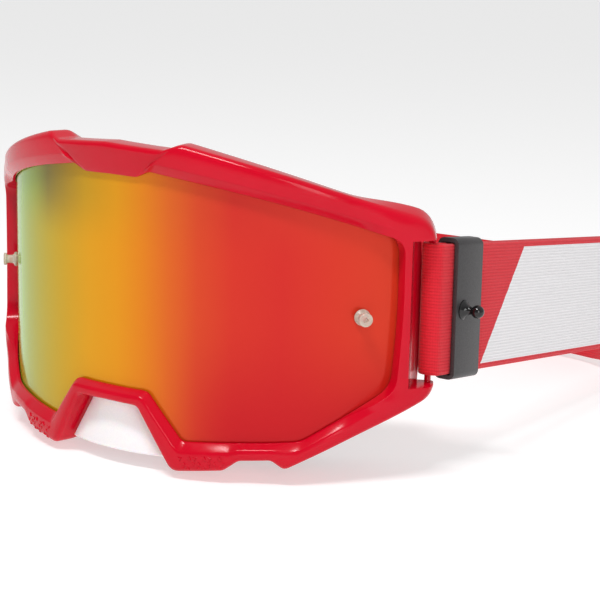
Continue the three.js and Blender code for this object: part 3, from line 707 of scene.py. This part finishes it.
def makeLens():
    half = [outward(st, rebate(st["inner"].x)) for st in stations[:len(stations) // 2 + 1]]
    tip = max(range(len(half)), key=lambda i: half[i].x)
    rails = [half[:tip + 1], list(reversed(half[tip:]))]

    def heightAt(rail, s):
        for a, b in zip(rail, rail[1:]):
            if b.x >= s - 1e-9:
                t = (s - a.x) / max(b.x - a.x, 1e-9)
                return mix(a.y, b.y, min(max(t, 0), 1))
        return rail[-1].y

    limit = half[tip].x - 0.25
    marks = sorted({round(p.x, 2) for rail in rails for p in rail if p.x < limit - 0.2} | {limit})
    columns = [-s for s in reversed(marks[1:])] + marks
    rows = 12
    sections = []
    uvs = []
    for s in columns:
        top, bottom = heightAt(rails[0], abs(s)), heightAt(rails[1], abs(s))
        heights = [mix(bottom, top, k / rows) for k in range(rows + 1)]
        front = [onLens(s, z, -lensSet["gap"]) for z in heights]
        back = [onLens(s, z, -lensSet["gap"] - lensSet["thickness"]) for z in reversed(heights)]
        sections.append(front + back)
        across = 0.5 + s / 200
        uvs += [(across, 0.5 + z / 100) for z in heights + heights[::-1]]
    verts, faces = sweep(sections, False)
    obj = makeObject("lens_sheet", verts, faces, mirrorPolycarbonate(), "frame_body", "lens", uvs, sharp=50)
    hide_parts("lens")
    print("lens made")


makeLens()

pinSet = {"s": 85.7, "z": 4.3, "head": 2.3, "neck": 1.5, "shank": 1.2, "height": 4.8, "button": 3.2}


def arcProfile(cx, cz, radius, start, end, steps):
    return [(cx + radius * math.cos(math.radians(mix(start, end, k / steps))),
             cz + radius * math.sin(math.radians(mix(start, end, k / steps)))) for k in range(steps + 1)]


# local Z along the lens's outward normal at a pin
def lensPlace(side, rise=0.0):
    angle = side * pinSet["s"] / frameSet["radius"]
    out = Vector((math.sin(angle), -math.cos(angle), 0))
    up = Vector((0, 0, 1))
    across = up.cross(out)
    place = Matrix((across, up, out)).transposed().to_4x4()
    place.translation = onLens(side * pinSet["s"], pinSet["z"], rise)
    return place


def makePins():
    clear = clearPolycarbonate()
    button = texturedNylon("button nylon", "1C1B1C", "2C2B2C", 0.4)
    p = {key: value * mm for key, value in pinSet.items()}
    back = -(frameSet["seatBack"] + 1.2) * mm
    head = p["height"]
    profile = [(0, back), (p["shank"], back), (p["shank"], 0), (p["head"] + 0.3 * mm, 0)]
    profile += arcProfile(p["head"] + 0.1 * mm, 0.5 * mm, 0.3 * mm, 0, 90, 4)
    profile += arcProfile(p["neck"] + 0.8 * mm, 1.8 * mm, 0.8 * mm, 270, 180, 5)
    profile += arcProfile(p["neck"] + 0.7 * mm, head - 1.7 * mm, 0.7 * mm, 180, 90, 5)
    profile += arcProfile(p["head"] - 0.3 * mm, head - 0.3 * mm, 0.3 * mm, 0, 90, 4)
    profile += [(0.9 * mm, head), (0.7 * mm, head - 0.6 * mm), (0, head - 0.7 * mm)]
    top = -(frameSet["seatBack"] + 0.05) * mm
    low = top - 1.2 * mm
    bore = p["shank"] + 0.35 * mm
    ring = [(bore, low)] + arcProfile(p["button"] - 0.3 * mm, low + 0.3 * mm, 0.3 * mm, 270, 360, 4)
    ring += [(p["button"], top), (bore, top)]
    for name, side in (("left", 1), ("right", -1)):
        pin = makeObject(f"pin_{name}", *lathe(profile, 40, lensPlace(side)), clear, "frame_body", "clear")
        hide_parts(f"tear_off_post_{name}")
        disc = makeObject(f"button_{name}", *lathe(ring, 36, lensPlace(side)), button, "frame_body", "clip")
        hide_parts(f"post_button_{name}")
    print("pins made")


makePins()


guardSet = {"top": -28.9, "bottom": -45.8, "front": 0.6, "thickness": 2.0, "bow": 3.6, "sideGap": 1.9}


def makeGuard():
    rows, columns = 14, 28
    bridge, lobe = rimCorners[-2][1], rimCorners[-3][1]

    def faceAt(u, z, depth):
        share = (z - bridge[1]) / (lobe[1] - bridge[1])
        half = frameSet["radius"] * math.sin(mix(bridge[0], lobe[0], share) / frameSet["radius"])
        half -= guardSet["sideGap"]
        y = axisY - frameSet["radius"] + guardSet["front"] + guardSet["bow"] * u * u + depth
        return Vector((u * half, y, z)) * mm

    sections = []
    for i in range(rows + 1):
        z = mix(guardSet["top"], guardSet["bottom"], i / rows)
        front = [faceAt(2 * k / columns - 1, z, 0) for k in range(columns + 1)]
        rear = [faceAt(2 * k / columns - 1, z, guardSet["thickness"]) for k in reversed(range(columns + 1))]
        sections.append(front + rear)
    verts, faces = sweep(sections, False)
    obj = makeObject("nose_shield", verts, faces, softElastomer(), "guard_body", "guard", sharp=60)
    roundEdges(obj, 0.6, 50)
    bake(obj, 60)
    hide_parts("nose_guard")
    print("nose guard made")


makeGuard()


foamSet = {
    "width": 13, "widthNose": 8, "overhang": 0.3, "layerGap": 0.032,
    "layers": {"foam_base": (0, 0.46), "foam_middle": (0.46, 0.88), "foam_fleece": (0.88, 1)},
    "crown": {"foam_base": 0.7, "foam_middle": 0.8, "foam_fleece": 0.5},
}


def foamLayer(node, material, slotName):
    start, end = foamSet["layers"][node]
    crown = foamSet["crown"][node]
    sections = []
    for station in stations[::2]:
        flange, face, inwards, noseShare = faceRails(station)
        reach = mix(foamSet["widthNose"], foamSet["width"], noseShare)

        def at(share, inset):
            p = flange.lerp(face, share) + inwards * inset
            p.y = faceY(p.x, frameSet["faceRadius"] + frameSet["foamStack"] * (1 - share))
            return p * mm

        low, high = start + foamSet["layerGap"], end
        over = foamSet["overhang"]
        loop = []
        for k in range(7):                            # outer wall, crowned between the glue lines
            t = k / 6
            bulge = crown * math.sin(math.pi * t)
            loop.append(at(mix(low, high, t), -over - bulge + 0.5))
        for k in range(1, 6):
            loop.append(at(high, mix(-over + 0.5, reach - 0.5, k / 6)))
        for k in range(7):
            t = 1 - k / 6
            bulge = crown * math.sin(math.pi * t)
            loop.append(at(mix(low, high, t), reach + bulge - 0.5))
        for k in range(1, 6):
            loop.append(at(low, mix(reach - 0.5, -over + 0.5, k / 6)))
        sections.append(loop)
    verts, faces = sweep(sections, True)
    obj = makeObject(node + "_pad", verts, faces, material, "frame_body", slotName, sharp=75)
    roundEdges(obj, 0.5, 50)
    bake(obj, 80)
    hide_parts(node)


foamLayer("foam_base", openCellFoam("base foam", "1A1A1C", "3A3A3E", 0.0006), "foam")
foamLayer("foam_middle", openCellFoam("middle foam", "202022", "4A4A4E", 0.0009), "foam")
foamLayer("foam_fleece", brushedFleece(), "fleece")
print("foam made")


strapSet = {
    "width": 43.5, "thickness": 1.4, "centreZ": 5.4, "fall": 0.114, "sag": 12, "sagLength": 40, "sideX": 91.9,
    "foldFront": 12.8, "tailX": 85.5, "pitch": 2.5, "straight": 150, "corner": 46, "tailEnd": 20,
    "barFront": 14.6, "barRear": 16.8, "ribPitch": 1.05, "pickPitch": 0.7,
    # print on the outside, measured from the fold towards the rear
    "panel": (57.5, 160), "slant": 0.71, "printHalf": 19.8,
}
clipSet = {"length": 16.4, "wall": 1.5, "centreY": 30, "gap": 0.45, "studY": 26.6, "ball": 2.2, "reach": 5.2}


# middle line of the right half in plan, from the tail's end to the middle of the rear, in mm
def strapLine():
    st = strapSet
    fold = (st["sideX"] - st["tailX"]) / 2
    inner = st["sideX"] - st["pitch"]
    rear = st["straight"] + st["corner"]
    cornerX = st["sideX"] - st["corner"]
    clipFront = clipSet["centreY"] - clipSet["length"] / 2 - 0.6
    points = []

    def line(a, b, step=2.0):
        steps = max(1, math.ceil(math.dist(a, b) / step))
        points.extend([(mix(a[0], b[0], k / steps), mix(a[1], b[1], k / steps)) for k in range(steps)])

    def arc(cx, cy, radius, start, end, steps):
        for k in range(steps):
            a = math.radians(mix(start, end, k / steps))
            points.append((cx + radius * math.cos(a), cy + radius * math.sin(a)))

    line((st["tailEnd"], rear - st["pitch"]), (cornerX, rear - st["pitch"]))
    arc(cornerX, st["straight"], st["corner"] - st["pitch"], 90, 0, 36)
    line((inner, st["straight"]), (inner, clipFront))
    line((inner, clipFront), (st["tailX"], st["barRear"]), 0.6)
    line((st["tailX"], st["barRear"]), (st["tailX"], st["foldFront"] + fold), 0.5)
    arc(st["tailX"] + fold, st["foldFront"] + fold, fold, 180, 360, 22)
    line((st["sideX"], st["foldFront"] + fold), (st["sideX"], st["straight"]))
    arc(cornerX, st["straight"], st["corner"], 0, 90, 36)
    line((cornerX, rear), (0, rear))
    points.append((0, rear))
    return points


# fall of the strap at y, in mm: even along the sides, sagging at the rear
def strapDrop(y):
    straight = strapSet["straight"]
    sag = strapSet["sag"] * smooth(y, straight, straight + strapSet["sagLength"])
    return strapSet["fall"] * (y - strapSet["barFront"]) + sag


def makeStrap():
    right = strapLine()
    line = right + [(-x, y) for x, y in reversed(right[:-1])]
    for _ in range(3):                                # eases the bends of the inner layer
        line = [line[0]] + [((a[0] + 2 * b[0] + c[0]) / 4, (a[1] + 2 * b[1] + c[1]) / 4)
                            for a, b, c in zip(line, line[1:], line[2:])] + [line[-1]]
    lengths = [0.0]
    for a, b in zip(line, line[1:]):
        lengths.append(lengths[-1] + math.dist(a, b))
    foldAt = lengths[min(range(len(right)), key=lambda i: line[i][1])]
    bend = math.pi / 4 * (strapSet["sideX"] - strapSet["tailX"])
    offset = strapSet["foldFront"] + (strapSet["sideX"] - strapSet["tailX"]) / 2 - bend
    total = lengths[-1]
    half, thick = strapSet["width"] / 2, strapSet["thickness"] / 2
    outline = [(-half, -thick + 0.35), (-half + 0.35, -thick)]
    across = [-half + 0.35 + (2 * half - 0.7) * k / 24 for k in range(1, 24)]
    outline += [(v, -thick) for v in across] + [(half - 0.35, -thick), (half, -thick + 0.35)]
    outline += [(half, thick - 0.35), (half - 0.35, thick)]
    outline += [(v, thick) for v in reversed(across)] + [(-half + 0.35, thick), (-half, thick - 0.35)]
    sections, uvs = [], []
    for i, (x, y) in enumerate(line):
        before, after = line[max(i - 1, 0)], line[min(i + 1, len(line) - 1)]
        way = Vector((after[0] - before[0], after[1] - before[1])).normalized()
        normal = Vector((way.y, -way.x))
        section = []
        for v, depth in outline:
            px, py = x + normal.x * depth, y + normal.y * depth
            section.append(Vector((px, py, strapSet["centreZ"] + v - strapDrop(py))) * mm)
            along = min(lengths[i], total - lengths[i]) - foldAt + offset
            uvs.append(((along if depth > 0 else -along) * mm, v * mm))
        sections.append(section)
    verts, faces = sweep(sections, False)
    obj = makeObject("strap_webbing", verts, faces, wovenElastic(), "strap_body", "strap", uvs, sharp=60)
    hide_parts("strap_band")
    print("strap made:", len(faces), "faces")


makeStrap()


# a rectangular loop: rounded outline with slots, drawn out along local Z
def loopBody(name, outer, holes, length, place, material, body, edge=0.35):
    solid = outlinePrism(name, [outer] + holes, -length / 2, length / 2)
    solid.data.transform(place)
    roundEdges(solid, edge, 40)
    bake(solid, 50)
    for vertex in solid.data.vertices:
        vertex.co.z -= strapDrop(vertex.co.y / mm) * mm
    solid.data.materials.clear()
    solid.data.materials.append(material)
    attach(solid, body)
    return solid


def makeClips():
    nylon = texturedNylon("textured nylon", "242223", "3B383A", 0.42)
    gloss = texturedNylon("polished nylon", "0C0B0C", "161415", 0.12)
    layers = strapSet["pitch"] + strapSet["thickness"] + 2 * clipSet["gap"]
    width = layers + 2 * clipSet["wall"]
    height = strapSet["width"] + 2 * clipSet["gap"] + 2 * clipSet["wall"]
    outer = roundedBox((-width / 2 * mm, width / 2 * mm), (-height / 2 * mm, height / 2 * mm), 2.4 * mm, 8)
    inner = roundedBox((-layers / 2 * mm, layers / 2 * mm),
                       ((-height / 2 + clipSet["wall"]) * mm, (height / 2 - clipSet["wall"]) * mm), 0.7 * mm)
    middle = strapSet["sideX"] - strapSet["pitch"] / 2
    for name, side in (("left", 1), ("right", -1)):
        centre = Vector((side * middle, clipSet["centreY"], strapSet["centreZ"])) * mm
        place = Matrix.Translation(centre) @ Matrix.Rotation(math.radians(90), 4, "X")
        clip = loopBody(f"keeper_{name}", outer, [inner], clipSet["length"] * mm, place, nylon,
                        f"clip_{name}_body", 0.55)
        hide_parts(f"strap_clip_{name}")
        face = middle + width / 2 + 0.02
        out = Vector((side, 0, 0))
        studPlace = Matrix((Vector((0, 0, 1)).cross(out), Vector((0, 0, 1)), out)).transposed().to_4x4()
        y = clipSet["studY"]
        studPlace.translation = Vector((side * face, y, strapSet["centreZ"] - strapDrop(y))) * mm
        profile = [(0, 0), (3.3, 0), (3.3, 0.3), (2.4, 0.9), (1.5, 2.0), (1.15, 3.0)]
        profile += arcProfile(0, clipSet["reach"], clipSet["ball"], -56, 90, 14)
        profile = [(max(r, 0) * mm, z * mm) for r, z in profile]
        profile[-1] = (0, profile[-1][1])
        stud = makeObject(f"stud_{name}", *lathe(profile, 40, studPlace), gloss, f"clip_{name}_body", "clip",
                          sharp=50)
        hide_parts(f"clip_stud_{name}")
    sliders(nylon)
    print("keepers and studs made")


sliderSet = {"x": 36, "length": 12, "wall": 1.6, "slot": 2.0}


def sliders(nylon):
    rear = strapSet["straight"] + strapSet["corner"]
    slot, wall = sliderSet["slot"], sliderSet["wall"]
    height = strapSet["width"] + 2 * clipSet["gap"] + 2 * wall
    front = rear - strapSet["pitch"] - slot / 2 - wall
    depth = strapSet["pitch"] + slot + 2 * wall
    outer = roundedBox((front * mm, (front + depth) * mm), (-height / 2 * mm, height / 2 * mm), 1.7 * mm, 6)
    holes = []
    for middle in (rear - strapSet["pitch"], rear):
        holes.append(roundedBox(((middle - slot / 2) * mm, (middle + slot / 2) * mm),
                                ((-height / 2 + wall) * mm, (height / 2 - wall) * mm), 0.35 * mm))
    turn = Matrix(((0, 0, 1, 0), (1, 0, 0, 0), (0, 1, 0, 0), (0, 0, 0, 1)))
    for name, side in (("left", 1), ("right", -1)):
        place = Matrix.Translation(Vector((side * sliderSet["x"], 0, strapSet["centreZ"])) * mm) @ turn
        slider = loopBody(f"slider_{name}", outer, holes, sliderSet["length"] * mm, place, nylon,
                          f"adjuster_{name}_body", 0.3)
        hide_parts(f"strap_adjuster_{name}")


makeClips()

beadSet = {"length": 34, "height": 3, "thickness": 0.8, "pitch": 11}


def makeBeads():
    silicone = siliconeBead()
    rear = strapSet["straight"] + strapSet["corner"]
    y = rear - strapSet["thickness"] / 2 - 0.05
    for name, row in (("upper", 1), ("middle", 0), ("lower", -1)):
        sections = []
        steps = 40
        for i in range(steps + 1):
            u = 2 * i / steps - 1
            x = u * beadSet["length"] / 2
            taper = math.sqrt(max(1 - max(abs(x) - beadSet["length"] / 2 + 1.5, 0) ** 2 / 1.5 ** 2, 0.02))
            ring = []
            for k in range(14):
                a = math.pi * k / 13
                z = math.cos(a) * beadSet["height"] / 2 * taper
                depth = math.sin(a) * beadSet["thickness"] * 1.25 * taper
                py = y - depth
                middle = strapSet["centreZ"] + row * beadSet["pitch"] - strapDrop(py)
                ring.append(Vector((x, py, middle + z)) * mm)
            sections.append(ring)
        bead = makeObject(f"grip_bead_{name}", *sweep(sections, False), silicone, "strap_body", "silicone")
        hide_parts(f"grip_strip_{name}")
    print("grip beads made")


makeBeads()


cameraSet = {"azimuth": 34.7, "elevation": 12.1, "roll": -1.2, "distance": 601.3, "lens": 104.07,
             "target": (32.24, 22.14, -0.67)}


def makeStage():
    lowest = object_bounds()[0].z
    mesh = bpy.data.meshes.new("floor")
    corners = [(x * 6, y * 6, lowest) for x, y in ((-1, -1), (1, -1), (1, 1), (-1, 1))]
    mesh.from_pydata(corners, [], [(0, 1, 2, 3)])
    floor = bpy.data.objects.new("floor", mesh)
    bpy.context.scene.collection.objects.link(floor)
    paper, _, shader = newMaterial("white paper", Roughness=0.9)
    shader.inputs["Base Color"].default_value = linear("CFCFCF")
    shader.inputs["Emission Color"].default_value = (1, 1, 1, 1)
    shader.inputs["Emission Strength"].default_value = 0.5
    mesh.materials.append(paper)
    world = bpy.data.worlds.new("studio")
    world.use_nodes = True
    sky = world.node_tree
    # white behind the object, dimmer in front, so that the gloss keeps its colour
    coords = addNode(sky, "ShaderNodeTexCoord")
    parts = addNode(sky, "ShaderNodeSeparateXYZ", {"Vector": coords.outputs["Generated"]})
    span = {"Value": parts.outputs["Y"], "From Min": -0.6, "From Max": 0.3, "To Min": 0.25, "To Max": 0.6}
    level = addNode(sky, "ShaderNodeMapRange", span, interpolation_type="SMOOTHSTEP")
    sky.links.new(level.outputs["Result"], sky.nodes["Background"].inputs["Strength"])
    sky.nodes["Background"].inputs["Color"].default_value = (1, 1, 1, 1)
    bpy.context.scene.world = world
    bpy.context.scene.view_settings.view_transform = "Standard"


def makeLight(name, place, aim, size, power):
    light = bpy.data.lights.new(name, "AREA")
    light.shape = "RECTANGLE"
    light.size, light.size_y = size
    light.energy = power
    obj = bpy.data.objects.new(name, light)
    obj.location = place
    obj.rotation_euler = (Vector(aim) - Vector(place)).to_track_quat("-Z", "Y").to_euler()
    bpy.context.scene.collection.objects.link(obj)


def makeCamera():
    c = cameraSet
    a, e, r = (math.radians(c[key]) for key in ("azimuth", "elevation", "roll"))
    back = Vector((math.sin(a) * math.cos(e), -math.cos(a) * math.cos(e), math.sin(e)))
    right = Vector((math.cos(a), math.sin(a), 0))
    up = back.cross(right)
    across = right * math.cos(r) - up * math.sin(r)
    upright = right * math.sin(r) + up * math.cos(r)
    place = Matrix((across, upright, back)).transposed().to_4x4()
    place.translation = (Vector(c["target"]) + back * c["distance"]) * mm
    camera = bpy.data.cameras.new("camera")
    camera.lens, camera.sensor_width = c["lens"], 36
    camera.clip_start, camera.clip_end = 0.01, 50
    obj = bpy.data.objects.new("camera", camera)
    obj.matrix_world = place
    bpy.context.scene.collection.objects.link(obj)
    bpy.context.scene.camera = obj


makeStage()
makeLight("key", (0.1, -0.5, 1.0), (0, 0, 0), (0.5, 0.12), 8)
makeLight("side", (0.9, -0.75, 0.35), (0, 0, 0), (0.3, 0.6), 3)
makeCamera()
print("stage made")
